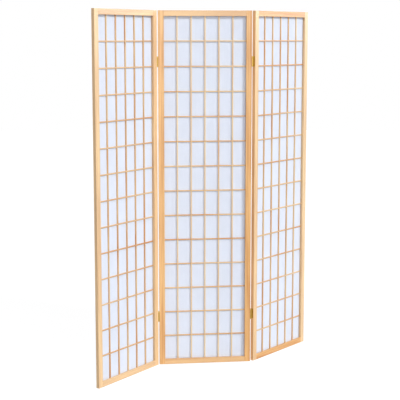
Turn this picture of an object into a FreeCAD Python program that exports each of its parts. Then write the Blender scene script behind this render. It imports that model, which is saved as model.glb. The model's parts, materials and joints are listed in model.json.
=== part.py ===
import FreeCAD, Part
import os

# Three-panel shoji folding screen, in millimetres.
# Each panel is a mortised pine frame with a two-step rebate behind its inner edge. The first
# step seats the ends of a half-lapped lattice of thin slats. The second seats the edge of the
# paper, which is glued over the lattice's back and held by strips. Two-way brass hinges join
# the panels: each has a leaf on either stile and a link between them, so every joint has two
# parallel pins, one along the front faces and one along the back.
# +X runs along the middle panel to the viewer's right, +Y from its front to its back, +Z is up.
# The origin is on the floor, at the centre of the standing screen's bounding box.

# ---- Panel frames
PANEL_HEIGHT = 1760.0
PANEL_WIDTH = 460.0
PANEL_THICKNESS = 18.0
STILE_WIDTH = 28.0
RAIL_HEIGHT = 27.0
STILE_CHAMFER = 1.0              # eased outer long edges of the stiles
TENON_LENGTH = 18.0              # rail tenons, blind in the stiles
TENON_THICKNESS = 6.0
TENON_END_SHOULDER = 8.0         # wood left between the mortise and the stile's end
TENON_INNER_SHOULDER = 5.0

# ---- Lattice
UPRIGHT_COUNT = 5
CROSSBAR_COUNT = 13
UPRIGHT_WIDTH = 6.0
CROSSBAR_HEIGHT = 5.5
LATTICE_DEPTH = 6.0
LATTICE_SEAT = 3.0               # how far the slat ends reach behind the frame's lip

# ---- Paper and the strips that hold its edge
PAPER_THICKNESS = 0.4
PAPER_SEAT = 4.0                 # width of the shoulder that its edge is glued to
PAPER_EDGE_CLEARANCE = 0.5
STRIP_THICKNESS = 3.1
STRIP_WIDTH = 10.0

# ---- Rest pose: how far each outer panel is folded from flat, in degrees
LEFT_FOLD = 48.0
RIGHT_FOLD = 44.0

# ---- Two-way hinges
PANEL_GAP = 6.0                  # between the stiles that a hinge joins
HINGE_HEIGHT = 50.0
HINGE_INSET = 246.0              # from a panel's end to the middle of its hinge
LEAF_THICKNESS = 1.0
LINK_THICKNESS = 1.2
BARREL_CLEARANCE = 0.4           # between a barrel and the stile or leaf beside it
PIN_STANDOFF = 0.5               # pin axis, proud of the panels' faces
PIN_RADIUS = 1.2
PIN_RUNNING_FIT = 0.05           # radial, in the leaf's knuckle
PIN_END_PROUD = 0.6
LINK_KNUCKLE_HEIGHT = 16.0
KNUCKLE_END_GAP = 0.3

# ---- Worked out from the sizes above
INNER_WIDTH = PANEL_WIDTH - 2 * STILE_WIDTH
INNER_HEIGHT = PANEL_HEIGHT - 2 * RAIL_HEIGHT
STRIP_FRONT = PANEL_THICKNESS - STRIP_THICKNESS
PAPER_FRONT = STRIP_FRONT - PAPER_THICKNESS
LATTICE_FRONT = PAPER_FRONT - LATTICE_DEPTH
HALF_LAP = LATTICE_FRONT + LATTICE_DEPTH / 2
REBATE_WIDTH = LATTICE_SEAT + PAPER_SEAT
BARREL_RADIUS = PANEL_GAP / 2 - BARREL_CLEARANCE
LEAF_MARGIN = BARREL_RADIUS + BARREL_CLEARANCE - PIN_STANDOFF   # leaf's edge to panel's face
PIN_X = -PANEL_GAP / 2                               # from the right-hand stile's edge
FRONT_PIN_Y = -PIN_STANDOFF
REAR_PIN_Y = PANEL_THICKNESS + PIN_STANDOFF
HINGE_FEET = {"lower": HINGE_INSET - HINGE_HEIGHT / 2,
              "upper": PANEL_HEIGHT - HINGE_INSET - HINGE_HEIGHT / 2}


def block(x, y, z):
    """A box between the two values of each pair."""
    corner = FreeCAD.Vector(x[0], y[0], z[0])
    return Part.makeBox(x[1] - x[0], y[1] - y[0], z[1] - z[0], corner)


def post(x, y, z, radius):
    """An upright cylinder at (x, y), between the two values of z."""
    return Part.makeCylinder(radius, z[1] - z[0], FreeCAD.Vector(x, y, z[0]))


def prism(points, z):
    """The outline through (x, y) points, raised between the two values of z."""
    corners = [FreeCAD.Vector(px, py, z[0]) for px, py in points]
    face = Part.Face(Part.makePolygon(corners + corners[:1]))
    return face.extrude(FreeCAD.Vector(0, 0, z[1] - z[0]))


def around(centre, size):
    """The span of one size about a centre."""
    return (centre - size / 2, centre + size / 2)


def within(length, margin):
    """The span that leaves one margin at both ends of a length."""
    return (margin, length - margin)


def evenly(start, length, count, size):
    """Centres of count pieces of one size that leave equal spaces along a length."""
    space = (length - count * size) / (count + 1)
    return [start + (space + size) * (i + 1) - size / 2 for i in range(count)]


UPRIGHT_CENTRES = evenly(STILE_WIDTH, INNER_WIDTH, UPRIGHT_COUNT, UPRIGHT_WIDTH)
CROSSBAR_CENTRES = evenly(RAIL_HEIGHT, INNER_HEIGHT, CROSSBAR_COUNT, CROSSBAR_HEIGHT)


# ---- Panel pieces, in a panel's own frame: X from its left edge, Y from its front face

def mirrored(shape):
    """A left-hand piece turned into its right-hand twin, across the panel's middle."""
    middle = FreeCAD.Vector(PANEL_WIDTH / 2, 0, 0)
    return shape.mirror(middle, FreeCAD.Vector(1, 0, 0))


def upended(shape):
    """A bottom piece turned into its top twin, across the panel's mid-height."""
    middle = FreeCAD.Vector(0, 0, PANEL_HEIGHT / 2)
    return shape.mirror(middle, FreeCAD.Vector(0, 0, 1))


def rebate():
    """The space behind the frame's lip: a step for the lattice and a wider one for the paper."""
    steps = []
    for reach, front in ((LATTICE_SEAT, LATTICE_FRONT), (REBATE_WIDTH, PAPER_FRONT)):
        steps.append(block(within(PANEL_WIDTH, STILE_WIDTH - reach), (front, PANEL_THICKNESS),
                           within(PANEL_HEIGHT, RAIL_HEIGHT - reach)))
    return steps


def tenon():
    """The bottom rail's left tenon, which is also its mortise in the left stile."""
    return block((STILE_WIDTH - TENON_LENGTH, STILE_WIDTH),
                 around(PANEL_THICKNESS / 2, TENON_THICKNESS),
                 (TENON_END_SHOULDER, RAIL_HEIGHT - TENON_INNER_SHOULDER))


def stile():
    """The left stile: eased along its outer edge, mortised and rebated inside."""
    outline = [(STILE_CHAMFER, 0), (STILE_WIDTH, 0), (STILE_WIDTH, PANEL_THICKNESS),
               (STILE_CHAMFER, PANEL_THICKNESS), (0, PANEL_THICKNESS - STILE_CHAMFER),
               (0, STILE_CHAMFER)]
    bar = prism(outline, (0, PANEL_HEIGHT))
    return bar.cut(rebate() + [tenon(), upended(tenon())])


def rail():
    """The bottom rail, rebated above, with a tenon at each end."""
    bar = block(within(PANEL_WIDTH, STILE_WIDTH), (0, PANEL_THICKNESS), (0, RAIL_HEIGHT))
    return bar.cut(rebate()).fuse([tenon(), mirrored(tenon())])


def upright(centre):
    """An upright slat, halved in front where each crossbar passes."""
    width = around(centre, UPRIGHT_WIDTH)
    slat = block(width, (LATTICE_FRONT, PAPER_FRONT), within(PANEL_HEIGHT, RAIL_HEIGHT - LATTICE_SEAT))
    halvings = [block(width, (LATTICE_FRONT, HALF_LAP), around(height, CROSSBAR_HEIGHT))
                for height in CROSSBAR_CENTRES]
    return slat.cut(halvings)


def crossbar(height):
    """A level slat, halved behind where each upright passes."""
    rise = around(height, CROSSBAR_HEIGHT)
    slat = block(within(PANEL_WIDTH, STILE_WIDTH - LATTICE_SEAT), (LATTICE_FRONT, PAPER_FRONT), rise)
    halvings = [block(around(centre, UPRIGHT_WIDTH), (HALF_LAP, PAPER_FRONT), rise)
                for centre in UPRIGHT_CENTRES]
    return slat.cut(halvings)


def paper():
    """The sheet, glued to the lattice's back and to the rebate's rear shoulder."""
    return block(within(PANEL_WIDTH, STILE_WIDTH - REBATE_WIDTH + PAPER_EDGE_CLEARANCE),
                 (PAPER_FRONT, STRIP_FRONT),
                 within(PANEL_HEIGHT, RAIL_HEIGHT - REBATE_WIDTH + PAPER_EDGE_CLEARANCE))


def paper_strips():
    """Four strips in the rebate: two full-height ones, with a short one between at each end."""
    side = STILE_WIDTH - REBATE_WIDTH
    end = RAIL_HEIGHT - REBATE_WIDTH
    depth = (STRIP_FRONT, PANEL_THICKNESS)
    side_strip = block((side, side + STRIP_WIDTH), depth, within(PANEL_HEIGHT, end))
    end_strip = block(within(PANEL_WIDTH, side + STRIP_WIDTH), depth, (end, end + STRIP_WIDTH))
    return [side_strip, mirrored(side_strip), end_strip, upended(end_strip)]


def panel():
    """Every piece of one panel, by name."""
    pieces = {"left_stile": stile(),
              "right_stile": mirrored(stile()),
              "bottom_rail": rail(),
              "top_rail": upended(rail())}
    for number, centre in enumerate(UPRIGHT_CENTRES, 1):
        pieces[f"upright_{number}"] = upright(centre)
    pieces["crossbars"] = Part.makeCompound([crossbar(height) for height in CROSSBAR_CENTRES])
    pieces["paper"] = paper()
    pieces["paper_strips"] = Part.makeCompound(paper_strips())
    return pieces


# ---- Hinge pieces, in a joint's frame with both panels flat: X from the right-hand stile's
# ---- edge, Y from the front faces, so that the left-hand stile's edge is at -PANEL_GAP

def knuckle_spans(foot):
    """Heights of a pin's three knuckles: the link's, the leaf's between them, the link's."""
    top = foot + HINGE_HEIGHT
    lower = (foot, foot + LINK_KNUCKLE_HEIGHT)
    upper = (top - LINK_KNUCKLE_HEIGHT, top)
    return lower, (lower[1] + KNUCKLE_END_GAP, upper[0] - KNUCKLE_END_GAP), upper


def rear_leaf(foot):
    """The right-hand leaf: a plate on the stile's edge, swaged into one knuckle at the back."""
    middle = knuckle_spans(foot)[1]
    near_back = PANEL_THICKNESS - LEAF_MARGIN
    plate = block((-LEAF_THICKNESS, 0), (LEAF_MARGIN, near_back), (foot, foot + HINGE_HEIGHT))
    swage = prism([(0, near_back), (-BARREL_CLEARANCE, REAR_PIN_Y),
                   (-BARREL_CLEARANCE - LEAF_THICKNESS, REAR_PIN_Y),
                   (-LEAF_THICKNESS, near_back)], middle)
    barrel = post(PIN_X, REAR_PIN_Y, middle, BARREL_RADIUS)
    bore = post(PIN_X, REAR_PIN_Y, middle, PIN_RADIUS + PIN_RUNNING_FIT)
    return plate.fuse([swage, barrel]).cut(bore)


def front_leaf(foot):
    """The left-hand leaf: the right-hand one turned half round, with its knuckle in front."""
    leaf = rear_leaf(foot)
    leaf.rotate(FreeCAD.Vector(PIN_X, PANEL_THICKNESS / 2, 0), FreeCAD.Vector(0, 0, 1), 180)
    return leaf


def link(foot):
    """The link: a plate between the pins, with a knuckle above and below each leaf's knuckle."""
    lower, _, upper = knuckle_spans(foot)
    clear = 2 * (BARREL_RADIUS + BARREL_CLEARANCE)
    plate = block(around(PIN_X, LINK_THICKNESS), (FRONT_PIN_Y, REAR_PIN_Y), (lower[0], upper[1]))
    windows = [block(around(PIN_X, LINK_THICKNESS), around(pin_y, clear), (lower[1], upper[0]))
               for pin_y in (FRONT_PIN_Y, REAR_PIN_Y)]
    barrels = [post(PIN_X, pin_y, span, BARREL_RADIUS)
               for pin_y in (FRONT_PIN_Y, REAR_PIN_Y) for span in (lower, upper)]
    return plate.cut(windows).fuse(barrels)


def pins(foot):
    """The front and back pins of one hinge, pressed into the link and a little proud of it."""
    span = (foot - PIN_END_PROUD, foot + HINGE_HEIGHT + PIN_END_PROUD)
    return Part.makeCompound([post(PIN_X, y, span, PIN_RADIUS) for y in (FRONT_PIN_Y, REAR_PIN_Y)])


# ---- Placing: everything is first laid flat in the middle panel's frame, then folded

UP = FreeCAD.Vector(0, 0, 1)
LEFT_SHIFT = -PANEL_GAP - PANEL_WIDTH
RIGHT_SHIFT = PANEL_WIDTH + PANEL_GAP
LEFT_PIN = FreeCAD.Vector(PIN_X, FRONT_PIN_Y, 0)
RIGHT_PIN = FreeCAD.Vector(RIGHT_SHIFT + PIN_X, REAR_PIN_Y, 0)


def folded_left(shape):
    shape.rotate(LEFT_PIN, UP, LEFT_FOLD)
    return shape


def folded_right(shape):
    shape.rotate(RIGHT_PIN, UP, RIGHT_FOLD)
    return shape


def shifted(shape, x):
    shape.translate(FreeCAD.Vector(x, 0, 0))
    return shape


def footprint():
    """Corners of the two folded outer panels on the floor, in the middle panel's frame."""
    for shift, pin, fold in ((LEFT_SHIFT, LEFT_PIN, LEFT_FOLD), (RIGHT_SHIFT, RIGHT_PIN, RIGHT_FOLD)):
        turn = FreeCAD.Rotation(UP, fold)
        for long, short in ((0, STILE_CHAMFER), (STILE_CHAMFER, 0)):
            for x in within(PANEL_WIDTH, long):
                for y in within(PANEL_THICKNESS, short):
                    yield pin + turn.multVec(FreeCAD.Vector(x + shift, y, 0) - pin)


def floor_centre():
    """The middle of the standing screen's footprint, in the middle panel's frame."""
    corners = list(footprint())
    middles = [(min(values) + max(values)) / 2
               for values in ([c.x for c in corners], [c.y for c in corners])]
    return FreeCAD.Vector(middles[0], middles[1], 0)


def screen():
    """Every piece of the standing screen, by name, with the origin at its foot."""
    pieces = {}
    for name, shape in panel().items():
        pieces["left_" + name] = folded_left(shifted(shape, LEFT_SHIFT))
    for name, shape in panel().items():
        pieces["middle_" + name] = shape
    for name, shape in panel().items():
        pieces["right_" + name] = folded_right(shifted(shape, RIGHT_SHIFT))
    for level, foot in HINGE_FEET.items():
        left = f"left_{level}_hinge_"
        pieces[left + "outer_leaf"] = folded_left(front_leaf(foot))
        pieces[left + "link"] = link(foot)
        pieces[left + "pins"] = pins(foot)
        pieces[left + "inner_leaf"] = rear_leaf(foot)
        right = f"right_{level}_hinge_"
        pieces[right + "inner_leaf"] = shifted(front_leaf(foot), RIGHT_SHIFT)
        pieces[right + "link"] = shifted(link(foot), RIGHT_SHIFT)
        pieces[right + "pins"] = shifted(pins(foot), RIGHT_SHIFT)
        pieces[right + "outer_leaf"] = folded_right(shifted(rear_leaf(foot), RIGHT_SHIFT))
    centre = floor_centre()
    for shape in pieces.values():
        shape.translate(-centre)
    return pieces


def main():
    os.makedirs("parts", exist_ok=True)
    for name, shape in screen().items():
        shape.exportStep(f"parts/{name}.step")
    centre = floor_centre()
    for side, shift in (("left", 0), ("right", RIGHT_SHIFT)):
        for face, pin_y in (("front", FRONT_PIN_Y), ("back", REAR_PIN_Y)):
            print(f"{side} joint, {face} pin: x {PIN_X + shift - centre.x:.4f}, y {pin_y - centre.y:.4f}")


main()
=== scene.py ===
"""A folding screen of three pine panels with a half-lapped lattice and white paper behind it.

Every solid piece is a numpy surface: an outline of eased corners, carried through a stack of
rings, each ring the same outline moved inwards or stepped, which gives rounded edges, rebates
and halvings. The sizes and places come from the packed frame.
"""

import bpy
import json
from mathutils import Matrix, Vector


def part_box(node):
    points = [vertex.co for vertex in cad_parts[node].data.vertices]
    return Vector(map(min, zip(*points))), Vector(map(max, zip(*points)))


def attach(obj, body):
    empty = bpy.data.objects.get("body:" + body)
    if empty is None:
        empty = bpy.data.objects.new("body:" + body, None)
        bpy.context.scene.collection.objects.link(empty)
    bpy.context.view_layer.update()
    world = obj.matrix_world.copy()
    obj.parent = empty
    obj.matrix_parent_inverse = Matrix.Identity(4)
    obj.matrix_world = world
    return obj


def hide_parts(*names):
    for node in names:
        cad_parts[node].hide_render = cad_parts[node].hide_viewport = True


bl_info = {
    "name": "Folding Paper Screen",
    "version": (1, 0, 0),
    "blender": (4, 5, 0),
    "location": "View3D > Sidebar > Screen",
    "description": "Builds the wood, paper and brass of a three-panel folding screen",
    "category": "Add Mesh",
}

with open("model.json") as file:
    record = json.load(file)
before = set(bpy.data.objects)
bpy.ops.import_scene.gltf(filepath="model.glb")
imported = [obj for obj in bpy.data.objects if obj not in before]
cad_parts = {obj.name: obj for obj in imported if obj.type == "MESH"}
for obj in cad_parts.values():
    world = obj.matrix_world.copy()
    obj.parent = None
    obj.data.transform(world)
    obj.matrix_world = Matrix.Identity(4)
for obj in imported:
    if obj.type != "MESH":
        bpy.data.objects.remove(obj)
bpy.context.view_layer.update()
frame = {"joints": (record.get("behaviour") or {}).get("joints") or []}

import itertools
import json
import math

import bmesh
import bpy
import numpy as np
from bpy.props import (BoolProperty, FloatProperty, FloatVectorProperty, IntProperty,
                       PointerProperty)
from bpy.types import Operator, Panel, PropertyGroup

# ---- What the frame says: places of the middle panel's pieces, pins and folds (metres)

SIDES = ("left", "middle", "right")
LEVELS = ("lower", "upper")
JOINTS = {joint["name"]: joint for joint in frame["joints"]}
PIN_AT = {(side, face): np.array(JOINTS[f"{side}_{face}_pin"]["pos_m"][:2])
          for side in ("left", "right") for face in ("front", "back")}
# an outer panel's own pin, and how far the panel stands folded from flat
FOLD = {side: (PIN_AT[side, face], -math.radians(JOINTS[f"{side}_{face}_pin"]["range_deg"][0]))
        for side, face in (("left", "front"), ("right", "back"))}
CORNER = np.array(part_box("middle_left_stile")[0])  # a panel's lower left front corner
PANEL_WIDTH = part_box("middle_right_stile")[1][0] - CORNER[0]
PANEL_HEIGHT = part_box("middle_left_stile")[1][2]
PANEL_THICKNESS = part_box("middle_left_stile")[1][1] - CORNER[1]
PANEL_GAP = 2 * (CORNER[0] - PIN_AT["left", "front"][0])
SHIFT = {"left": -PANEL_GAP - PANEL_WIDTH, "middle": 0.0, "right": PANEL_GAP + PANEL_WIDTH}


def own_box(piece):
    """Lowest and highest corner of a middle-panel piece, from that panel's corner."""
    low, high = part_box("middle_" + piece)
    return np.array(low) - CORNER, np.array(high) - CORNER


STILE_WIDTH = own_box("left_stile")[1][0]
RAIL_HEIGHT = own_box("bottom_rail")[1][2]
LATTICE_FRONT, LATTICE_BACK = own_box("upright_1")[0][1], own_box("upright_1")[1][1]
LATTICE_REACH = STILE_WIDTH - own_box("crossbars")[0][0]  # behind the frame's lip
STRIP_LOW, STRIP_HIGH = own_box("paper_strips")
HINGE_FOOT = {level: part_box(f"left_{level}_hinge_link")[0][2] for level in LEVELS}
HINGE_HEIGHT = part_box("left_lower_hinge_link")[1][2] - HINGE_FOOT["lower"]
MM = 0.001
UP, ACROSS = (0, 0, 1), (1, 0, 0)  # directions of the grain


# ---- Sizes and colours that a user would change

def length(name, note, default, low=0.0, high=1.0):
    return FloatProperty(name=name, description=note, default=default, min=low, max=high,
                         unit="LENGTH", precision=5)


def share(name, note, default):
    return FloatProperty(name=name, description=note, default=default, min=0.0, max=1.0,
                         subtype="FACTOR")


def colour(name, note, default):
    return FloatVectorProperty(name=name, description=note, default=default, min=0.0, max=1.0,
                               subtype="COLOR", size=3)


def amount(name, note, default, unit="NONE"):
    return FloatProperty(name=name, description=note, default=default, min=0.0, unit=unit)


class WoodSizes(PropertyGroup):
    """Sizes of the wooden pieces."""
    outer_round: length("Outer edge round", "Radius along a stile's outer edges", 1.7 * MM)
    frame_ease: length("Frame easing", "How far the frame's other edges are eased", 0.45 * MM)
    slat_ease: length("Slat easing", "How far a slat's edges are eased", 0.35 * MM)
    rail_ease: length("Rail easing", "How far a rail's edges are eased", 0.3 * MM)
    joint_line: length("Joint line", "Easing at a rail's shoulders", 0.25 * MM)
    shoulder_gap: length("Shoulder gap", "Gap between a rail's end and the stile", 0.02 * MM)
    crossbar_height: length("Crossbar height", "Height of a level slat", 5.5 * MM)
    crossbars: IntProperty(name="Crossbars", description="Level slats in a panel", default=13,
                           min=1, max=40)
    uprights: IntProperty(name="Uprights", description="Upright slats in a panel", default=5,
                          min=1, max=20)
    lap_gap: length("Halving clearance", "Play between two halved slats", 0.04 * MM)
    strip_width: length("Strip width", "Width of the strips on the paper's edge", 10 * MM)
    strip_ease: length("Strip easing", "How far a strip's long edges are eased", 0.4 * MM)
    strip_gap: length("Strip gap", "Gap round a strip", 0.03 * MM)


class WoodLooks(PropertyGroup):
    """Colours and grain of the pine."""
    early: colour("Earlywood", "Pale wood between the rings", (0.845, 0.505, 0.205))
    slat: colour("Slat wood", "Pale wood of the slats", (0.74, 0.525, 0.28))
    late: colour("Latewood", "Darker wood of a ring", (0.58, 0.25, 0.07))
    # the colour that paler boards tend to, also used for the painted sheen on the left and right
    # panels' frames
    pale: colour("Pale board", "Colour that a pale board tends to", (0.91, 0.76, 0.52))
    ring: length("Ring spacing", "Spacing of the growth rings", 3.1 * MM, 0.0005)
    ring_strength: share("Ring strength", "How far a ring darkens the wood", 0.55)
    roughness: share("Lacquer roughness", "Roughness of the satin lacquer", 0.38)
    coat: share("Lacquer", "Weight of the clear coat", 0.18)


class PaperLooks(PropertyGroup):
    """Size and colours of the paper."""
    thickness: length("Thickness", "Thickness of the sheet", 0.2 * MM)
    rise: length("Ripple", "How far the sheet rises between the slats", 0.12 * MM)
    gap: length("Paper gap", "Gap between the sheet and the slats", 0.02 * MM)
    fibre: colour("Pulp", "Colour of the sheet", (0.795, 0.842, 0.938))
    long_fibre: colour("Long fibres", "Colour of the long fibres in it", (0.86, 0.89, 0.96))
    see_through: share("Translucency", "Share of the light that passes on", 0.18)


class BrassLooks(PropertyGroup):
    """Sizes and colours of the hinges."""
    metal: colour("Brass", "Colour of the plated brass", (0.62, 0.43, 0.11))
    tarnish: colour("Tarnish", "Colour of its dull places", (0.24, 0.18, 0.06))
    leaf_corner: length("Leaf corner", "Radius of a leaf's corners", 1.5 * MM)
    screw_head: length("Screw head", "Radius of a countersunk head", 2.3 * MM)
    roughness: share("Roughness", "Roughness of the plating", 0.3)


class StageSettings(PropertyGroup):
    """Floor, lamps and camera."""
    lens: FloatProperty(name="Lens", description="Focal length on a 36 mm sensor", default=96.83,
                        min=10, max=300, unit="CAMERA")
    shift: FloatProperty(name="Vertical shift", description="The camera's shift", default=-0.02)
    eye: FloatVectorProperty(name="Camera place", description="Where the camera stands",
                             default=(-0.6671, -5.2264, 1.6294), subtype="TRANSLATION", size=3)
    yaw: FloatProperty(name="Yaw", description="Turn towards +X from looking along +Y",
                       default=0.1199, subtype="ANGLE")
    pitch: FloatProperty(name="Pitch", description="Tilt below the level", default=0.1425,
                         subtype="ANGLE")
    sky: amount("Sky", "Level of the even light", 0.24)
    key: amount("Key", "Power of the lamp on the right", 2.0)
    front: amount("Front", "Power of the lamp in front", 1.0)
    back: amount("Back", "Power of the lamp behind", 1.6)
    side: amount("Side box", "Power of the soft box at the side", 120.0, "POWER")
    front_box: amount("Front box", "Power of the soft box in front", 120.0, "POWER")
    floor: BoolProperty(name="Floor", description="Whether there is a floor", default=True)


GROUPS = {"screen_wood": WoodSizes, "screen_pine": WoodLooks, "screen_paper": PaperLooks,
          "screen_brass": BrassLooks, "screen_stage": StageSettings}


# ---- Placing

def turned(points, centre, angle):
    """Points turned about an upright axis at centre."""
    moved = points.copy()
    offset = points[..., :2] - centre
    cos, sin = math.cos(angle), math.sin(angle)
    moved[..., 0] = centre[0] + offset[..., 0] * cos - offset[..., 1] * sin
    moved[..., 1] = centre[1] + offset[..., 0] * sin + offset[..., 1] * cos
    return moved


def folded(points, side):
    """Points of the flat row, where that side's panel stands in the folded row."""
    if side == "middle":
        return points
    return turned(points, *FOLD[side])


def on_panel(points, side):
    """Points from a panel's corner, where that panel stands."""
    return folded(points + CORNER + (SHIFT[side], 0.0, 0.0), side)


# ---- Outlines and rings

def eased(corners, radius, steps=3):
    """Each corner of an outline becomes a curve: the corner plus (1-t)^2 r towards the corner
    before it plus t^2 r towards the one after it, for t from 0 to 1. Corners is (..., n, 2)
    and radius one number or n of them."""
    corners = np.asarray(corners, float)
    before = np.roll(corners, 1, -2) - corners
    after = np.roll(corners, -1, -2) - corners
    before /= np.linalg.norm(before, axis=-1, keepdims=True)
    after /= np.linalg.norm(after, axis=-1, keepdims=True)
    t = np.linspace(0, 1, steps + 1)[:, None]
    reach = np.broadcast_to(np.asarray(radius, float), corners.shape[-2:-1])[:, None, None]
    curve = (corners[..., None, :] + (1 - t) ** 2 * reach * before[..., None, :]
             + t ** 2 * reach * after[..., None, :])
    return curve.reshape(*corners.shape[:-2], -1, 2)


def inset(corners, depth):
    """An outline that runs anticlockwise, moved inwards: each corner moves along the sum of
    its two sides' inward normals, divided by one plus their dot product."""
    side = np.roll(corners, -1, 0) - corners
    side /= np.linalg.norm(side, axis=1, keepdims=True)
    normal = np.stack([-side[:, 1], side[:, 0]], 1)
    last = np.roll(normal, 1, 0)
    return corners + depth * (normal + last) / (1 + (normal * last).sum(1, keepdims=True))


def rectangle(low, high):
    """Corners of a rectangle, anticlockwise."""
    return np.array([low, (high[0], low[1]), high, (low[0], high[1])], float)


def ring_of(radius, count=28, groove=0.0, groove_at=0.0):
    """A circle, with one narrow groove where a rolled edge meets: r less groove times
    exp(-(angle from it / 0.16)^2)."""
    angle = np.linspace(0, 2 * math.pi, count, endpoint=False)
    away = np.angle(np.exp(1j * (angle - groove_at)))
    r = radius - groove * np.exp(-(away / 0.16) ** 2)
    return np.stack([r * np.cos(angle), r * np.sin(angle)], 1)


QUARTER = np.linspace(0, math.pi / 2, 4)  # angles along an eased edge
FLAT_ANGLE, ROUND_ANGLE = 35, 40  # edges below it are shaded smooth
END_GRAIN = 0.8  # a face this square to the grain


def stacked(outlines, depths, low, high):
    """Rings of a solid that is alike at both ends, the length last: outlines, each at its
    depth past the low end, then the same outlines backwards up to the high end."""
    rings = np.stack([*outlines, *outlines[::-1]])
    length_at = np.concatenate([low + depths, high - depths[::-1]])
    length_at = np.broadcast_to(length_at[:, None, None], rings.shape[:2] + (1,))
    return np.concatenate([rings, length_at], 2)


class Stock:
    """Closed solids gathered into one mesh, with the attributes that the finishes read:
    grain, each point's place in its own board; tone, how pale the board is, with painted
    sheen and shade in it on some boards; ease, 1 along an eased edge, where the pine's finish
    paints a highlight; end, 1 on a face across the grain. Place puts points where they stand."""

    def __init__(self, place):
        self.place = place
        self.points, self.grain, self.tone, self.ease = [], [], [], []
        self.faces, self.end, self.count = [], [], 0

    def add(self, rings, ease=None, along=UP, board=(0, 0, 0), tone=0.0):
        """Adds the solid between the first and the last of the rings, an (m, n, 3) array. A
        ring runs anticlockwise seen from where the rings go. Along is the grain's direction
        and board a shift that gives the solid its own piece of the grain."""
        m, n, _ = rings.shape
        along = np.asarray(along, float)
        across = np.roll(along, 1)
        through = np.cross(along, across)
        flat = rings.reshape(-1, 3)
        i, j = np.meshgrid(np.arange(m - 1), np.arange(n), indexing="ij")
        k = (j + 1) % n
        quads = np.stack([i * n + j, i * n + k, (i + 1) * n + k, (i + 1) * n + j], -1)
        quads = quads.reshape(-1, 4)
        first, second, third, fourth = flat[quads.T]
        normal = np.cross(third - first, fourth - second)
        size = np.maximum(np.linalg.norm(normal, axis=1), 1e-14)
        self.end += (np.abs(normal @ along) / size > END_GRAIN).astype(float).tolist()
        travel = rings[-1].mean(0) - rings[0].mean(0)
        lid = float(abs(travel @ along) > END_GRAIN * np.linalg.norm(travel))
        self.end += [lid, lid]
        self.faces += (quads + self.count).tolist()
        self.faces.append((np.arange(n)[::-1] + self.count).tolist())
        self.faces.append((np.arange(n) + (m - 1) * n + self.count).tolist())
        self.points.append(self.place(flat))
        own = np.stack([flat @ across, flat @ through, flat @ along], 1)
        self.grain.append(own + np.asarray(board, float))
        self.tone.append(np.full(len(flat), float(tone)))
        edge = np.zeros(m) if ease is None else np.asarray(ease, float)
        self.ease.append(np.repeat(edge, n))
        self.count += len(flat)

    def piece(self, name, finish, body, slot, nodes, smooth=FLAT_ANGLE):
        """The gathered solids as one object that rides on a body and stands for nodes."""
        mesh = bpy.data.meshes.new(name)
        mesh.from_pydata(np.concatenate(self.points).tolist(), [], self.faces)
        add_places(mesh, "grain", np.concatenate(self.grain))
        for label, values, domain in (("tone", np.concatenate(self.tone), "POINT"),
                                      ("ease", np.concatenate(self.ease), "POINT"),
                                      ("end", np.array(self.end), "FACE")):
            layer = mesh.attributes.new(label, "FLOAT", domain)
            layer.data.foreach_set("value", values.astype(np.float32))
        return shown(name, mesh, finish, body, nodes, smooth)


def add_places(mesh, name, places):
    """A place for each point of a mesh, that a finish reads."""
    layer = mesh.attributes.new(name, "FLOAT_VECTOR", "POINT")
    layer.data.foreach_set("vector", places.astype(np.float32).ravel())


def shown(name, mesh, finish, body, nodes, smooth):
    """A mesh made an object: doubles merged, smooth up to an angle, on its body."""
    work = bmesh.new()
    work.from_mesh(mesh)
    bmesh.ops.remove_doubles(work, verts=work.verts, dist=1e-7)
    work.to_mesh(mesh)
    work.free()
    mesh.polygons.foreach_set("use_smooth", [True] * len(mesh.polygons))
    mesh.set_sharp_from_angle(angle=math.radians(smooth))
    mesh.normals_split_custom_set(corner_normals(mesh, smooth))
    mesh.materials.append(finish)
    obj = bpy.data.objects.new(name, mesh)
    bpy.context.scene.collection.objects.link(obj)
    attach(obj, body)
    if nodes:
        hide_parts(*nodes)
    return obj


def corner_normals(mesh, smooth):
    """A normal for each corner of each face: the sum of area times normal over the faces at
    that corner that turn by less than the smooth angle from its own. So a wide face stays
    flat, and its eased edges carry the whole turn."""
    count = len(mesh.polygons)
    corner_of = np.repeat(np.arange(count), [len(face.vertices) for face in mesh.polygons])
    normal, area, point = np.zeros(3 * count), np.zeros(count), np.zeros(len(mesh.loops), int)
    mesh.polygons.foreach_get("normal", normal)
    mesh.polygons.foreach_get("area", area)
    mesh.loops.foreach_get("vertex_index", point)
    normal = normal.reshape(-1, 3)[corner_of]
    weight = normal * area[corner_of, None]
    total = weight.copy()
    order = np.argsort(point, kind="stable")
    for apart in range(1, np.bincount(point).max()):
        same = point[order[apart:]] == point[order[:-apart]]
        one, other = order[apart:][same], order[:-apart][same]
        near = (normal[one] * normal[other]).sum(1) > math.cos(math.radians(smooth))
        one, other = one[near], other[near]
        np.add.at(total, one, weight[other])
        np.add.at(total, other, weight[one])
    total /= np.maximum(np.linalg.norm(total, axis=1, keepdims=True), 1e-20)
    return total.tolist()


def bar_rings(outline, low, high, ease, radius=0.0, steps=1):
    """Rings of a bar from low to high along its length: the outline moved inwards by
    e(1 - sin a) at e(1 - cos a) from each end, for a from 0 to a quarter turn. Returns rings
    as (m, n, 3) with the length last, and 1 on the rings that lie in an eased edge."""
    outlines = [eased(inset(outline, ease * (1 - math.sin(a))), radius, steps) for a in QUARTER]
    mark = np.sin(2 * QUARTER)
    return (stacked(outlines, ease * (1 - np.cos(QUARTER)), low, high),
            np.concatenate([mark, mark[::-1]]))


def along_x(rings):
    """Rings given as (y, z, x) put in order (x, y, z)."""
    return rings[..., [2, 0, 1]]


# ---- Wood

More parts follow.
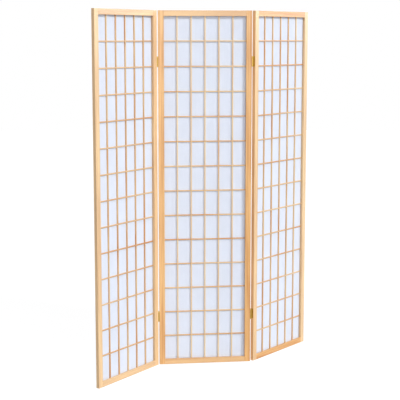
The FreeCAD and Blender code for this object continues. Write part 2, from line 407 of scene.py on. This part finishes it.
def boards(side, used=0):
    """Grain shift and tone of each of a panel's boards in turn, after those that are used."""
    source = np.random.default_rng(20 + SIDES.index(side))
    for number in itertools.count():
        shift = source.uniform((-0.035, 0.02, -3.0), (0.035, 0.06, 3.0))
        tone = float(source.normal(0, 0.12))
        if number >= used:
            yield shift, tone


# how pale boards are, below 0 for dark ones, with painted light in it: left and right stile,
# bottom and top rail
# the left and right panels' paleness is partly painted sheen of the lacquer; the right panel's
# rails are darkened as painted shade against the side box's sheen
FRAME_TONES_AND_PAINTED_LIGHT = {"left": (0.46, 0.46, 0.46, 0.46), "middle": (0.0, -0.35, 0.25, 0.25),
               "right": (0.48, 0.48, -0.35, -0.35)}
# painted shade: the left panel's uprights are darkened because their side faces are in shade
UPRIGHT_TONE_AND_SHADE = {"left": -0.1, "middle": 0.45, "right": 0.15}
CROSSBAR_TONE = 0.1
STRIP_TONE = 0.2
FRAME_SPREAD = 0.4  # of a frame board's own tone
FRAME_BOARDS = 4  # boards of a panel's frame
LATTICE_BOARDS = 30  # more than frame and lattice


def wood_piece(side, node, finish, slot, source, pale, shapes, spread=1.0):
    """Solids of a panel, each (rings, ease, along) cut from the next board, as the piece that
    stands for a node. Its tone is pale plus the spread of the board's own; pale holds painted
    sheen on some pieces and painted shade on others."""
    stock = Stock(lambda points: on_panel(points, side))
    for rings, ease, along in shapes:
        board, tone = next(source)
        stock.add(rings, ease, along, board, pale + spread * tone)
    stock.piece(f"{side}_{node}_pine", finish, f"{side}_panel", slot, [f"{side}_{node}"])


def stile_rings(sizes):
    """A left stile as rings from its front to its back, each an outline of eight corners in
    (x, z): the full board, then from each rebate's front the outline stepped in by the
    rebate between its ends. The first and last rings curve in, by the outer round along the
    outer edge and by the easing elsewhere."""
    back_step = STILE_WIDTH - STRIP_LOW[0]
    lip = RAIL_HEIGHT - LATTICE_REACH
    rows, marks = [], []

    def row(y, reach, stop, turn=math.pi / 2):
        off = sizes.outer_round * (1 - math.sin(turn))
        small = sizes.frame_ease * (1 - math.sin(turn))
        low, high = small, PANEL_HEIGHT - small
        wide = STILE_WIDTH - small
        narrow = wide - reach
        top = PANEL_HEIGHT - stop
        corners = [(off, high), (wide, high), (wide, top), (narrow, top), (narrow, stop),
                   (wide, stop), (wide, low), (off, low)]
        rows.append([(x, y, z) for x, z in corners])
        marks.append(math.sin(2 * turn))

    for turn in QUARTER:
        row(sizes.outer_round * (1 - math.cos(turn)), 0.0, lip, turn)
    row(LATTICE_FRONT, 0.0, lip)
    row(LATTICE_FRONT, LATTICE_REACH, lip)
    row(LATTICE_BACK, LATTICE_REACH, lip)
    row(LATTICE_BACK, back_step, STRIP_LOW[2])
    for turn in QUARTER[::-1]:
        row(PANEL_THICKNESS - sizes.outer_round * (1 - math.cos(turn)), back_step,
            STRIP_LOW[2], turn)
    return np.array(rows), np.array(marks)


def rail_outline():
    """The bottom rail's section in (y, z), anticlockwise: two rebate steps at its top back."""
    back = STRIP_LOW[2]
    lip = RAIL_HEIGHT - LATTICE_REACH
    return np.array([(0, 0), (PANEL_THICKNESS, 0), (PANEL_THICKNESS, back),
                     (LATTICE_BACK, back), (LATTICE_BACK, lip), (LATTICE_FRONT, lip),
                     (LATTICE_FRONT, RAIL_HEIGHT), (0, RAIL_HEIGHT)])


def mirrored(rings, axis):
    """The twin of a piece at the panel's other side (axis 0) or end (axis 2), with its rings
    reversed, so that faces point outwards."""
    twin = rings.copy()
    twin[..., axis] = (PANEL_WIDTH, PANEL_THICKNESS, PANEL_HEIGHT)[axis] - twin[..., axis]
    return twin[:, ::-1]


def notched(low, high, front, back, centres, half, floor, opens):
    """Corners of a slat's side seen across it, (through, along): a rectangle with a halving
    of the given half length at each centre, open towards the front or the back."""
    along = np.stack([centres - half, centres - half, centres + half, centres + half], 1).ravel()
    outside = front if opens == "front" else back
    cuts = list(zip(np.tile([outside, floor, floor, outside], len(centres)), along))
    if opens == "front":
        return np.array([(front, low), (back, low), (back, high), (front, high), *cuts[::-1]])
    return np.array([(front, low), (back, low), *cuts, (back, high), (front, high)])


class MakeFrames(Operator):
    """Stiles and rails of the three panels"""
    bl_idname = "screen.make_frames"
    bl_label = "Stiles and Rails"

    def execute(self, context):
        sizes = context.scene.screen_wood
        pine = pine_finish(context.scene.screen_pine)
        left, marks = stile_rings(sizes)
        outline = eased(rail_outline(), sizes.rail_ease * np.array([1, 1, 0, 0, 0, 0, 1, 1]), 2)
        gap = STILE_WIDTH + sizes.shoulder_gap
        rail = rail_rings(outline, gap, PANEL_WIDTH - gap, sizes.joint_line)
        shapes = {"left_stile": (left, marks, UP), "right_stile": (mirrored(left, 0), marks, UP),
                  "bottom_rail": (rail, None, ACROSS),
                  "top_rail": (mirrored(rail, 2), None, ACROSS)}
        for side in SIDES:
            source = boards(side)
            for (name, shape), pale in zip(shapes.items(), FRAME_TONES_AND_PAINTED_LIGHT[side]):
                wood_piece(side, name, pine, "pine_frame", source, pale, [shape], FRAME_SPREAD)
        return {"FINISHED"}


def rail_rings(outline, low, high, ease):
    """A rail's rings along x; at its shoulders the section shrinks towards its middle by the
    joint line, as a planed end does."""
    middle = outline.mean(0)
    shrink = 1 - ease * (1 - np.sin(QUARTER)) / (RAIL_HEIGHT / 2)
    sections = middle + (outline - middle) * shrink[:, None, None]
    return along_x(stacked(sections, ease * (1 - np.cos(QUARTER)), low, high))


class MakeLattice(Operator):
    """Uprights and crossbars, halved into each other"""
    bl_idname = "screen.make_lattice"
    bl_label = "Lattice"

    def execute(self, context):
        sizes = context.scene.screen_wood
        pine = slat_finish(context.scene.screen_pine)
        low, high = own_box("crossbars")
        half_bar = sizes.crossbar_height / 2
        levels = np.linspace(low[2] + half_bar, high[2] - half_bar, sizes.crossbars)
        boxes = [own_box(f"upright_{i + 1}") for i in range(sizes.uprights)]
        middles = np.array([(a[0] + b[0]) / 2 for a, b in boxes])
        half_upright = (boxes[0][1][0] - boxes[0][0][0]) / 2
        floor = (LATTICE_FRONT + LATTICE_BACK) / 2
        play = sizes.lap_gap
        for side in SIDES:
            source = boards(side, FRAME_BOARDS)
            for number, (a, b) in enumerate(boxes, 1):
                comb = notched(a[2], b[2], a[1], b[1], levels, half_bar + play, floor + play / 2,
                               "front")
                rings, ease = bar_rings(comb, a[0], b[0], sizes.slat_ease)
                wood_piece(side, f"upright_{number}", pine, "pine_lattice", source,
                           UPRIGHT_TONE_AND_SHADE[side], [(along_x(rings), ease, UP)])
            comb = notched(low[0], high[0], low[1], high[1], middles, half_upright + play,
                           floor - play / 2, "back")[::-1, ::-1]
            bars = [(*bar_rings(comb, at - half_bar, at + half_bar, sizes.slat_ease), ACROSS)
                    for at in levels]
            wood_piece(side, "crossbars", pine, "pine_lattice", source, CROSSBAR_TONE, bars)
        return {"FINISHED"}


class MakeStrips(Operator):
    """The strips that hold the paper's edge at the back"""
    bl_idname = "screen.make_strips"
    bl_label = "Paper Strips"

    def execute(self, context):
        sizes = context.scene.screen_wood
        pine = slat_finish(context.scene.screen_pine)
        low, high = STRIP_LOW, STRIP_HIGH
        wide, gap = sizes.strip_width, sizes.strip_gap
        easing = sizes.slat_ease, sizes.strip_ease, 2
        section = rectangle((low[0] + gap, low[1]), (low[0] + wide, high[1]))
        upright, marks = bar_rings(section, low[2] + gap, high[2] - gap, *easing)
        section = rectangle((low[1], low[2] + gap), (high[1], low[2] + wide))
        across, _ = bar_rings(section, low[0] + wide + gap, high[0] - wide - gap, *easing)
        across = along_x(across)
        strips = [(upright, marks, UP), (mirrored(upright, 0), marks, UP),
                  (across, marks, ACROSS), (mirrored(across, 2), marks, ACROSS)]
        for side in SIDES:
            wood_piece(side, "paper_strips", pine, "pine_lattice", boards(side, LATTICE_BOARDS),
                       STRIP_TONE, strips)
        return {"FINISHED"}


class MakePaper(Operator):
    """The sheet of paper behind each panel's lattice"""
    bl_idname = "screen.make_paper"
    bl_label = "Paper"

    def execute(self, context):
        looks = context.scene.screen_paper
        sizes = context.scene.screen_wood
        finish = paper_finish(looks)
        low, high = own_box("paper")
        columns, rows = 8 * (sizes.uprights + 1) + 1, 10 * (sizes.crossbars + 1) + 1
        u, v = np.meshgrid(np.linspace(0, 1, columns), np.linspace(0, 1, rows), indexing="ij")
        x = low[0] + (high[0] - low[0]) * u
        z = low[2] + (high[2] - low[2]) * v
        # rise |sin| over each opening of the lattice, times a slow wave that differs by panel
        cell = np.abs(np.sin(math.pi * (sizes.uprights + 1) * u)
                      * np.sin(math.pi * (sizes.crossbars + 1) * v)) ** 0.7
        for number, side in enumerate(SIDES):
            wave = 0.65 + 0.35 * np.sin(5.1 * u + 9.7 * v + 2.0 * number)
            front = low[1] + looks.gap + looks.rise * cell * wave
            sheet = np.stack([np.stack([x, y, z], -1) for y in (front, front + looks.thickness)])
            mesh = sheet_mesh(f"{side}_paper_sheet", sheet, side)
            obj = shown(f"{side}_paper_sheet", mesh, finish, f"{side}_panel",
                        [f"{side}_paper"], ROUND_ANGLE)
        return {"FINISHED"}


PULP_SHIFT = (0.7, 0.0, 2.3)  # from one sheet's fibres to the next sheet's


def sheet_mesh(name, sheet, side):
    """A closed thin sheet from its front and back grids, (2, columns, rows, 3): a quad for
    each grid square on both, and a band of quads round the edge."""
    _, columns, rows, _ = sheet.shape
    index = np.arange(2 * columns * rows).reshape(2, columns, rows)
    front, back = index
    face = np.stack([front[:-1, :-1], front[1:, :-1], front[1:, 1:], front[:-1, 1:]], -1)
    rear = np.stack([back[:-1, :-1], back[:-1, 1:], back[1:, 1:], back[1:, :-1]], -1)
    edge = np.concatenate([front[:, 0], front[-1, 1:], front[-2::-1, -1], front[0, -2:0:-1]])
    after = np.roll(edge, -1)
    step = columns * rows
    band = np.stack([edge + step, after + step, after, edge], -1)
    faces = np.concatenate([face.reshape(-1, 4), rear.reshape(-1, 4), band])
    mesh = bpy.data.meshes.new(name)
    flat = sheet.reshape(-1, 3)
    mesh.from_pydata(on_panel(flat, side).tolist(), [], faces.tolist())
    add_places(mesh, "pulp", flat + SIDES.index(side) * np.array(PULP_SHIFT))
    return mesh


# ---- Brass: in a joint's flat frame, x from the right-hand stile's edge, y from the front

def in_joint(points, joint, side):
    """Points of a joint's flat frame, where the panel or link of that side stands."""
    edge = CORNER[0] if joint == "left" else CORNER[0] + SHIFT["right"]
    return folded(points + (edge, CORNER[1], 0.0), side)


class Hinge:
    """Sizes of a hinge in its joint's flat frame, read from the left joint's lower one."""
    pin_x = -PANEL_GAP / 2
    front_y = PIN_AT["left", "front"][1] - CORNER[1]
    back_y = PIN_AT["left", "back"][1] - CORNER[1]
    leaf_y0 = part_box("left_lower_hinge_inner_leaf")[0][1] - CORNER[1]
    leaf_y1 = PANEL_THICKNESS - leaf_y0
    radius = pin_x + CORNER[0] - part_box("left_lower_hinge_link")[0][0]
    clearance = -(pin_x + radius)
    leaf_thickness = 1.0 * MM
    link_thickness = 1.2 * MM
    pin_radius = 1.2 * MM
    pin_proud = 0.6 * MM
    link_knuckle = 16.0 * MM  # length of each of a link's knuckles
    end_gap = 0.3 * MM  # between a leaf's and a link's
    knuckle_ease = 0.3 * MM
    knuckle_groove = 0.4 * MM  # where the rolled edge meets
    swage_in = 0.5 * MM  # from the plate's edge


def knuckle_rings(pin_y, low, high, groove_at):
    """A knuckle: circles about a pin that shrink at both ends by e(1 - sin a), with the groove
    at an angle in degrees."""
    ease = Hinge.knuckle_ease
    circles = [ring_of(Hinge.radius - ease * (1 - math.sin(a)), 28, Hinge.knuckle_groove,
                       math.radians(groove_at)) + (Hinge.pin_x, pin_y) for a in QUARTER]
    return stacked(circles, ease * (1 - np.cos(QUARTER)), low, high)


def half_turned(rings):
    """The left-hand leaf: the right-hand one turned half round about the joint's middle."""
    return turned(rings, np.array([Hinge.pin_x, PANEL_THICKNESS / 2]), math.pi)


def leaf_solids(foot, corner):
    """The right-hand leaf: a plate with round corners, the swage from it to its knuckle and
    the knuckle, rolled round the back pin, as three closed solids."""
    plate, _ = bar_rings(rectangle((Hinge.leaf_y0, foot), (Hinge.leaf_y1, foot + HINGE_HEIGHT)),
                         -Hinge.leaf_thickness, 0.0, 0.15 * MM, corner, 4)
    low = foot + Hinge.link_knuckle + Hinge.end_gap
    high = foot + HINGE_HEIGHT - Hinge.link_knuckle - Hinge.end_gap
    c, t, foot_y = Hinge.clearance, Hinge.leaf_thickness, Hinge.leaf_y1 - Hinge.swage_in
    strap = np.array([(0, foot_y), (-c, Hinge.back_y), (-c - t, Hinge.back_y), (-t, foot_y)])
    swage, _ = bar_rings(strap, low, high, 0.1 * MM)
    return [along_x(plate), swage, knuckle_rings(Hinge.back_y, low, high, -60)]


def screw_rings(radius):
    """A countersunk head seen along +z: a cone under a low dome with a cross-shaped recess.
    Each ring has 24 points; on the recess they follow a cross of arm a and half width w."""
    arm, w = 0.56 * radius, 0.16 * radius
    quarter = [(arm, -w), (arm, 0.0), (arm, w), (0.6 * arm, w), (w, w), (w, 0.6 * arm)]
    cross = np.concatenate([turned(np.array(quarter), (0, 0), k * math.pi / 2) for k in range(4)])
    angle = np.arctan2(cross[:, 1], cross[:, 0])
    circle = np.stack([np.cos(angle), np.sin(angle)], 1)
    rows = [(0.45 * radius * circle, -0.6 * radius), (radius * circle, -0.02 * radius),
            (radius * circle, 0.03 * radius), (0.9 * radius * circle, 0.09 * radius),
            (0.72 * radius * circle, 0.13 * radius), (cross * 1.04, 0.14 * radius),
            (cross * 0.98, 0.10 * radius), (cross * 0.72, -0.25 * radius)]
    return np.stack([np.column_stack([xy, np.full(24, z)]) for xy, z in rows])


# places of the screws, as shares of a leaf's width and height
SCREW_PLACES = ((0.27, 0.13), (0.73, 0.30), (0.27, 0.70), (0.73, 0.87))
# the leaf and the panel at a joint's right hand, then those at its left hand
LEAVES = {"left": (("inner", "middle"), ("outer", "left")),
          "right": (("outer", "right"), ("inner", "middle"))}


def brass_piece(name, solids, joint, side, finish, body, slot, *nodes):
    """Solids of a joint's flat frame as one piece."""
    stock = Stock(lambda points: in_joint(points, joint, side))
    for rings in solids:
        stock.add(rings)
    stock.piece(name, finish, body, slot, nodes, ROUND_ANGLE)


class MakeHinges(Operator):
    """Leaves, links, pins and screws of the two-way hinges"""
    bl_idname = "screen.make_hinges"
    bl_label = "Hinges"

    def execute(self, context):
        looks = context.scene.screen_brass
        brass = brass_finish(looks, "plated_brass", looks.metal)
        pin_brass = brass_finish(looks, "pin_brass", [0.72 * c for c in looks.metal])
        for joint, leaves in LEAVES.items():
            for level in LEVELS:
                foot = HINGE_FOOT[level]
                hinge = f"{joint}_{level}_hinge"
                for left_hand, (place, side) in enumerate(leaves):
                    solids = leaf_solids(foot, looks.leaf_corner)
                    screws = self.screws(foot, looks.screw_head)
                    if left_hand:
                        solids, screws = map(half_turned, solids), map(half_turned, screws)
                    brass_piece(f"{hinge}_{place}_leaf_brass", solids, joint, side, brass,
                                f"{side}_panel", "brass", f"{hinge}_{place}_leaf")
                    brass_piece(f"{hinge}_{place}_screws", screws, joint, side, pin_brass,
                                f"{side}_panel", "brass_pin")
                brass_piece(f"{hinge}_link_brass", self.link(foot), joint, "middle", brass,
                            f"{joint}_hinge_link", "brass", f"{hinge}_link")
                brass_piece(f"{hinge}_pins_brass", self.pins(foot), joint, "middle", pin_brass,
                            f"{joint}_hinge_link", "brass_pin", f"{hinge}_pins")
        return {"FINISHED"}

    def screws(self, foot, radius):
        """Four screw heads on a leaf's outer face, each turned its own way."""
        head = screw_rings(radius)
        made = []
        for number, (across, up) in enumerate(SCREW_PLACES):
            one = turned(head, np.zeros(2), 0.4 + 1.1 * number)
            y = Hinge.leaf_y0 + across * (Hinge.leaf_y1 - Hinge.leaf_y0)
            z = foot + up * HINGE_HEIGHT
            made.append(np.stack([-Hinge.leaf_thickness - one[..., 2], y + one[..., 0],
                                  z - one[..., 1]], -1))
        return made

    def link(self, foot):
        """The link: an H-shaped plate across the joint and a knuckle at each corner."""
        clear = Hinge.radius + Hinge.clearance
        low, high = foot + Hinge.link_knuckle, foot + HINGE_HEIGHT - Hinge.link_knuckle
        top = foot + HINGE_HEIGHT
        f, b = Hinge.front_y, Hinge.back_y
        outline = np.array([(f, foot), (b, foot), (b, low), (b - clear, low),
                            (b - clear, high), (b, high), (b, top), (f, top), (f, high),
                            (f + clear, high), (f + clear, low), (f, low)])
        x, half = Hinge.pin_x, Hinge.link_thickness / 2
        plate, _ = bar_rings(outline, x - half, x + half, 0.12 * MM, 0.3 * MM, 2)
        return [along_x(plate)] + [
            knuckle_rings(y, *span, groove_at) for y, groove_at in ((f, 200), (b, 20))
            for span in ((foot, low), (high, top))]

    def pins(self, foot):
        """The two pins, with domed ends: circles of r sin a at height r cos a / 2."""
        r, proud = Hinge.pin_radius, Hinge.pin_proud
        turn = np.linspace(0.25, math.pi / 2, 5)
        dome = 0.5 * r * (np.cos(turn[0]) - np.cos(turn))
        return [stacked([ring_of(r * math.sin(a), 20) + (Hinge.pin_x, y) for a in turn], dome,
                        foot - proud, foot + HINGE_HEIGHT + proud)
                for y in (Hinge.front_y, Hinge.back_y)]


# ---- Finishes

class Wire:
    """A socket of a material's nodes. Python's operators on it add Math nodes."""

    def __init__(self, tree, socket=None):
        self.tree, self.socket = tree, socket

    def node(self, kind, inputs=None, out=0, **settings):
        """Adds a node with settings and with values or links at its sockets. Gives output out."""
        made = self.tree.nodes.new("ShaderNode" + kind)
        for name, value in settings.items():
            setattr(made, name, value)
        for key, value in (inputs or {}).items():
            if isinstance(value, Wire):
                self.tree.links.new(value.socket, made.inputs[key])
            else:
                made.inputs[key].default_value = value
        return Wire(self.tree, made.outputs[out] if made.outputs else None)

    def output(self, name):
        """Another output of this wire's node."""
        return Wire(self.tree, self.socket.node.outputs[name])

    def math(self, operation, first, second=0.0):
        return self.node("Math", {0: first, 1: second}, operation=operation)

    def __add__(self, other):
        return self.math("ADD", self, other)

    __radd__ = __add__

    def __sub__(self, other):
        return self.math("SUBTRACT", self, other)

    def __rsub__(self, other):
        return self.math("SUBTRACT", other, self)

    def __mul__(self, other):
        return self.math("MULTIPLY", self, other)

    __rmul__ = __mul__

    def __truediv__(self, other):
        return self.math("DIVIDE", self, other)

    def __abs__(self):
        return self.math("ABSOLUTE", self)

    def step(self, low, high):
        """0 below low and 1 above high, with a smooth change between."""
        return self.node("MapRange", {"Value": self, "From Min": low, "From Max": high},
                         interpolation_type="SMOOTHSTEP")

    def scaled(self, x, y, z):
        """A vector with its parts multiplied."""
        return self.node("VectorMath", {0: self, 1: (x, y, z)}, operation="MULTIPLY")

    def noise(self, scale, detail=2.0, rough=0.5, distort=0.0):
        """Noise over this vector, from 0 to 1."""
        return self.node("TexNoise", {"Vector": self, "Scale": scale, "Detail": detail,
                                      "Roughness": rough, "Distortion": distort})

    def between(self, first, second, factor):
        """A mix of two colours, each a wire or red, green and blue."""
        first, second = [c if isinstance(c, Wire) else (*c, 1) for c in (first, second)]
        return self.node("Mix", {0: factor, 6: first, 7: second}, 2, data_type="RGBA")

    def dimmed(self, light):
        """This colour times a level of light."""
        return self.node("VectorMath", {0: self, "Scale": light}, operation="SCALE")

    def bump(self, strength, distance):
        """The normal of a surface that rises by this."""
        return self.node("Bump", {"Strength": strength, "Distance": distance, "Height": self})

    def shaded(self, other, factor):
        """This shader mixed with another."""
        return self.node("MixShader", {0: factor, 1: self, 2: other})

    def surface(self, kind="OutputMaterial"):
        """Makes this shader the surface of its material or world."""
        self.node(kind, {"Surface": self})


def emptied(made):
    """A new material or world without its nodes, and a wire to start new ones from."""
    made.use_nodes = True
    made.node_tree.nodes.clear()
    return made, Wire(made.node_tree)


def attribute(start, name, part):
    """A wire from a mesh attribute: its vector, or its factor."""
    return start.node("Attribute", None, part, attribute_name=name)


def pine_finish(looks, name="lacquered_pine", early=None):
    """Pine under satin lacquer. Growth rings are circles about a pith outside the board: the
    distance from it, bent by slow noise, divided by the ring spacing; each ring darkens
    slowly and ends at once. Fine streaks and short resin lines follow the grain."""
    if name in bpy.data.materials:
        return bpy.data.materials[name]
    made, start = emptied(bpy.data.materials.new(name))
    grain = attribute(start, "grain", "Vector")
    tone, ease, end = [attribute(start, each, "Fac") for each in ("tone", "ease", "end")]
    across = start.node("SeparateXYZ", {0: grain}, "X")
    through = across.output("Y")
    slow = grain.scaled(1, 1, 0.09).noise(9.0, 2.0) - 0.5
    ripple = grain.scaled(1, 1, 0.05).noise(75.0, 1.0) - 0.5
    radius = start.math("SQRT", across * across + through * through)
    rings = (radius + slow * 0.02 + ripple * 0.0016) / looks.ring
    part = start.math("FRACT", rings)
    whole = start.math("FLOOR", rings)
    strength = start.node("TexWhiteNoise", {"W": whole}, noise_dimensions="1D")
    dark = part.step(0.25, 0.93) * (1 - part.step(0.94, 1.0)) * (0.45 + 0.75 * strength)
    fine = grain.scaled(1, 1, 0.012).noise(1400.0, 3.0, 0.6)
    hair = grain.scaled(1, 1, 0.03).noise(620.0, 2.0, 0.5)
    cloud = grain.scaled(1, 1, 0.12).noise(16.0, 3.0, 0.55)
    streak = grain.scaled(1, 1, 0.035).noise(95.0, 2.0, 0.5)
    resin = hair.step(0.68, 0.76) * fine.step(0.45, 0.6)
    wood = start.between(early or looks.early, looks.late,
                         0.22 + dark * looks.ring_strength + (0.5 - cloud) * 1.6
                         + (0.52 - streak) * 2.6)
    # tone above 0 pales the board and below 0 darkens it; on the left and right frames and the
    # left uprights part of it is painted sheen and shade
    paler = start.math("MAXIMUM", tone, 0.0) * 0.85
    wood = start.between(wood, looks.pale, paler)
    darker = start.math("MAXIMUM", 0.0 - tone, 0.0)
    wood = start.between(wood, looks.late, darker * 0.35 + end * 0.22)
    # 0.05 * ease is a painted highlight along the eased edges
    light = 0.90 + 0.20 * fine + 0.05 * ease - 0.14 * resin
    wood = wood.dimmed(light)
    rough = looks.roughness + 0.16 * (cloud - 0.5) + 0.10 * dark + 0.22 * end - 0.05 * ease
    height = fine * 0.5 + hair * 0.6 - dark * 0.5
    bump = height.bump(0.22, 0.12 * MM)
    start.node("BsdfPrincipled", {
        "Base Color": wood, "Roughness": rough, "Normal": bump, "Coat Weight": looks.coat,
        "Coat Roughness": 0.3, "IOR": 1.48}).surface()
    return made


def slat_finish(looks):
    """The same pine, of another pale wood."""
    return pine_finish(looks, "lacquered_slats", looks.slat)


def paper_finish(looks):
    """Fibre paper: a cloudy pulp with long curled fibres, which are the lines where a slow
    noise passes its middle, broken by a second noise, and a fine laid felt mark."""
    made, start = emptied(bpy.data.materials.new("fibre_paper"))
    place = attribute(start, "pulp", "Vector")
    cloud = place.noise(16.0, 5.0, 0.6)
    felt = place.noise(420.0, 4.0, 0.65)
    fibres = None
    for scale, bend, width in ((55.0, 1.4, 0.010), (90.0, 2.2, 0.012), (31.0, 0.8, 0.006)):
        curl = abs(place.noise(scale, 1.0, 0.4, bend) - 0.5)
        line = (1 - curl.step(0.0, width)) * place.noise(scale * 0.6, 1.0).step(0.5, 0.62)
        fibres = line if fibres is None else start.math("MAXIMUM", fibres, line)
    laid = place.scaled(1, 1, 0.02).noise(150.0, 2.0, 0.6)
    light = 0.925 + 0.07 * cloud + 0.03 * felt + 0.05 * laid
    pulp = start.between(looks.fibre, looks.long_fibre, fibres * 0.75)
    pulp = pulp.dimmed(light)
    bump = (felt * 0.6 + fibres * 0.8 + cloud * 1.2).bump(0.3, 0.2 * MM)
    face = start.node("BsdfPrincipled", {
        "Base Color": pulp, "Roughness": 0.86 - 0.1 * fibres, "Normal": bump, "IOR": 1.4})
    through = start.node("BsdfTranslucent", {"Color": pulp, "Normal": bump})
    face.shaded(through, looks.see_through).surface()
    return made


def brass_finish(looks, name, metal):
    """Plated brass: fine drawing marks along the hinge, and dull spots where it tarnished."""
    made, start = emptied(bpy.data.materials.new(name))
    place = start.node("TexCoord", None, "Object")
    drawn = place.scaled(1, 1, 0.04).noise(2600.0, 2.0)
    spots = place.noise(260.0, 4.0, 0.65)
    dull = spots.step(0.48, 0.70)
    plate = start.between(metal, looks.tarnish, dull * 0.65)
    plate = plate.dimmed(0.92 + 0.16 * drawn)
    bump = (drawn + dull * 0.4).bump(0.15, 0.05 * MM)
    start.node("BsdfPrincipled", {
        "Base Color": plate, "Metallic": 1.0 - 0.25 * dull, "Normal": bump,
        "Roughness": looks.roughness + 0.25 * dull + 0.08 * drawn}).surface()
    return made


# ---- Stage

def seen_rays(start):
    """1 for rays from the camera, from gloss and through glass, 0 for the others."""
    path = start.node("LightPath", None, "Is Camera Ray")
    seen = path + path.output("Is Glossy Ray") + path.output("Is Transmission Ray")
    return start.math("MINIMUM", seen, 1.0)


def lamp(name, kind, power, place, target, **settings):
    """A white lamp at place, turned towards target."""
    data = bpy.data.lights.new(name, kind)
    data.energy = power
    for key, value in settings.items():
        setattr(data, key, value)
    obj = bpy.data.objects.new(name, data)
    bpy.context.scene.collection.objects.link(obj)
    east, north, up = np.array(target, float) - np.array(place, float)
    obj.location = place
    obj.rotation_euler = (math.pi / 2 + math.atan2(up, math.hypot(east, north)), 0,
                          -math.atan2(east, north))
    return obj


WHITE = (1, 1, 1, 1)
SUNS_AIM, BOXES_AIM = (0, 0, 0.85), (0, 0, 1.5)  # what the lamps point at
FLOOR_RADIUS, FLOOR_SIDES = 14.0, 96
FLOOR_DROP = 0.4 * MM  # below the screen's feet
FLOOR_GLOW = 0.78  # share of it that glows, as seen


class MakeStage(Operator):
    """White floor and surround, soft lamps and the camera"""
    bl_idname = "screen.make_stage"
    bl_label = "Stage"

    def execute(self, context):
        stage = context.scene.screen_stage
        scene = context.scene
        scene.view_settings.view_transform = "Standard"
        scene.world, start = emptied(bpy.data.worlds.new("white_surround"))
        seen = seen_rays(start)
        white, even = [start.node("Background", {"Color": WHITE, "Strength": strength})
                       for strength in (1.0, stage.sky)]
        even.shaded(white, seen).surface("OutputWorld")
        if stage.floor:
            self.make_floor()
        # a soft sun from the right, and softer ones in front and behind
        for name, power, place, angle in (
                ("key", stage.key, (2.9, -2.5, 3.45), 8),
                ("front", stage.front, (0.1, -4.4, 3.0), 70),
                ("back", stage.back, (-1.2, 4.2, 2.6), 60)):
            lamp(name, "SUN", power, place, SUNS_AIM, angle=math.radians(angle))
        # two soft boxes that only the lacquer's sheen shows
        for name, power, place in (
                ("side", stage.side, (4.5, 0.72, 2.7)),
                ("front_box", stage.front_box, (0.8, -5.2, 3.1))):
            box = lamp(name, "AREA", power, place, BOXES_AIM, shape="RECTANGLE",
                       size=2.2, size_y=1.7)
            box.visible_diffuse = False
        camera = bpy.data.objects.new("camera", bpy.data.cameras.new("camera"))
        scene.collection.objects.link(camera)
        camera.data.sensor_width = 36.0
        camera.data.lens = stage.lens
        camera.data.shift_y = stage.shift
        camera.data.clip_start, camera.data.clip_end = 0.05, 60.0
        camera.location = stage.eye
        camera.rotation_euler = (math.pi / 2 - stage.pitch, 0, -stage.yaw)
        scene.camera = camera
        return {"FINISHED"}

    def make_floor(self):
        """A pale disc under the screen, white where it is lit, that keeps the soft shadow."""
        made, start = emptied(bpy.data.materials.new("white_floor"))
        plain, paint = [start.node("BsdfDiffuse", {"Color": (grey, grey, grey, 1)})
                        for grey in (0.65, 0.95)]
        glow = start.node("Emission", {"Color": WHITE, "Strength": 1.13})
        plain.shaded(paint.shaded(glow, FLOOR_GLOW), seen_rays(start)).surface()
        rim = ring_of(FLOOR_RADIUS, FLOOR_SIDES)
        rim = np.column_stack([rim, np.full(FLOOR_SIDES, -FLOOR_DROP)])
        mesh = bpy.data.meshes.new("floor")
        mesh.from_pydata(rim.tolist(), [], [list(range(FLOOR_SIDES))])
        mesh.materials.append(made)
        floor = bpy.data.objects.new("floor", mesh)
        bpy.context.scene.collection.objects.link(floor)


OPERATORS = (MakeFrames, MakeLattice, MakeStrips, MakePaper, MakeHinges, MakeStage)


class ScreenPanel(Panel):
    """Sizes, finishes and buttons of the folding screen"""
    bl_idname = "VIEW3D_PT_folding_screen"
    bl_label = "Folding Screen"
    bl_space_type = "VIEW_3D"
    bl_region_type = "UI"
    bl_category = "Screen"

    def draw(self, context):
        layout = self.layout
        for key, group in GROUPS.items():
            box = layout.box()
            box.label(text=group.__doc__.rstrip("."))
            for name in group.__annotations__:
                box.prop(getattr(context.scene, key), name)
        for operator in OPERATORS:
            layout.operator(operator.bl_idname)


def register():
    for each in (*GROUPS.values(), *OPERATORS, ScreenPanel):
        bpy.utils.register_class(each)
    for key, group in GROUPS.items():
        setattr(bpy.types.Scene, key, PointerProperty(type=group))


def unregister():
    for key in GROUPS:
        delattr(bpy.types.Scene, key)
    for each in reversed((*GROUPS.values(), *OPERATORS, ScreenPanel)):
        bpy.utils.unregister_class(each)


def main():
    """Builds everything in order."""
    register()
    bpy.ops.screen.make_frames()
    bpy.ops.screen.make_lattice()
    bpy.ops.screen.make_strips()
    bpy.ops.screen.make_paper()
    bpy.ops.screen.make_hinges()
    bpy.ops.screen.make_stage()


if __name__ == "__main__":
    main()
